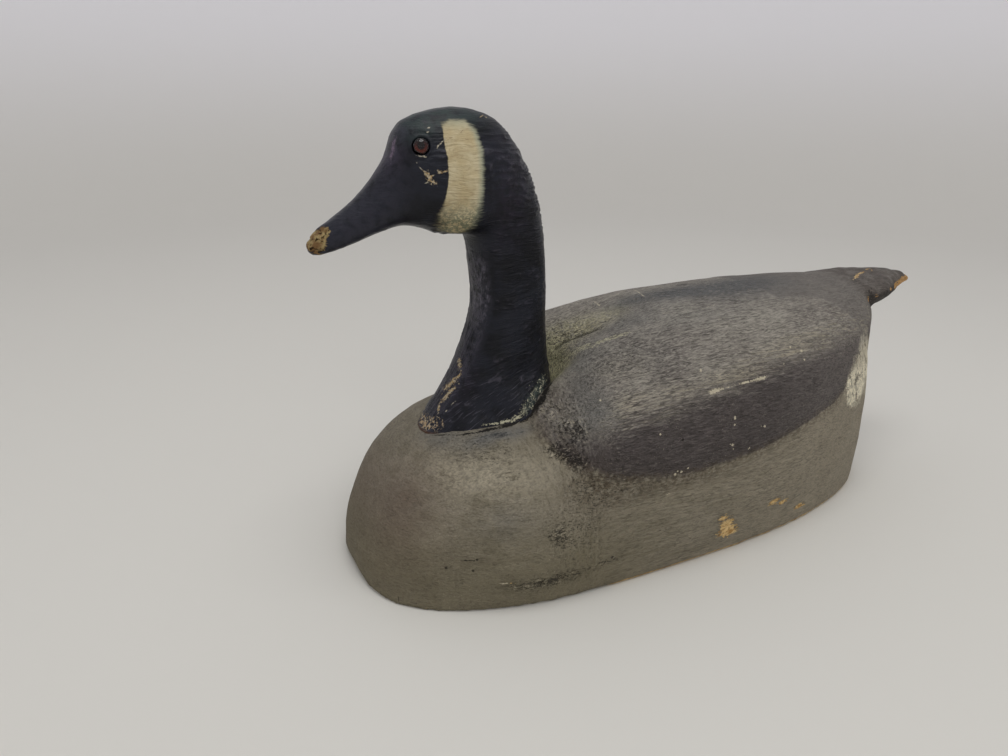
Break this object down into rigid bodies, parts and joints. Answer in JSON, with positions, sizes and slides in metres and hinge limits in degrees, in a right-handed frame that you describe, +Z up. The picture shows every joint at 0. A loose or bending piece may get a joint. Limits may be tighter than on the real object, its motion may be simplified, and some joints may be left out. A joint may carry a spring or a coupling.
{
  "type": "goose decoy",
  "caption": "Carved and painted wooden goose decoy with a flat underside, folded wings, a short pointed tail, an upright neck and glass eyes.",
  "frame": {"origin": "in the flat underside, half way between the breast and the rump, on the centre plane", "axes": "+X towards the bill, +Y to the goose's left, +Z up"},
  "size_m": [0.539, 0.2028, 0.295],
  "materials": {
    "painted_body": "matt weathered paint over wood, grey brown below and charcoal on the wings",
    "painted_head": "worn black paint with a slight sheen, cream on the cheeks",
    "eye_glass": "polished dark amber glass, painted behind"
  },
  "bodies": {
    "root": {"body": "painted_body", "head_and_neck": "painted_head", "eye_left": "eye_glass", "eye_right": "eye_glass"}
  },
  "joints": []
}
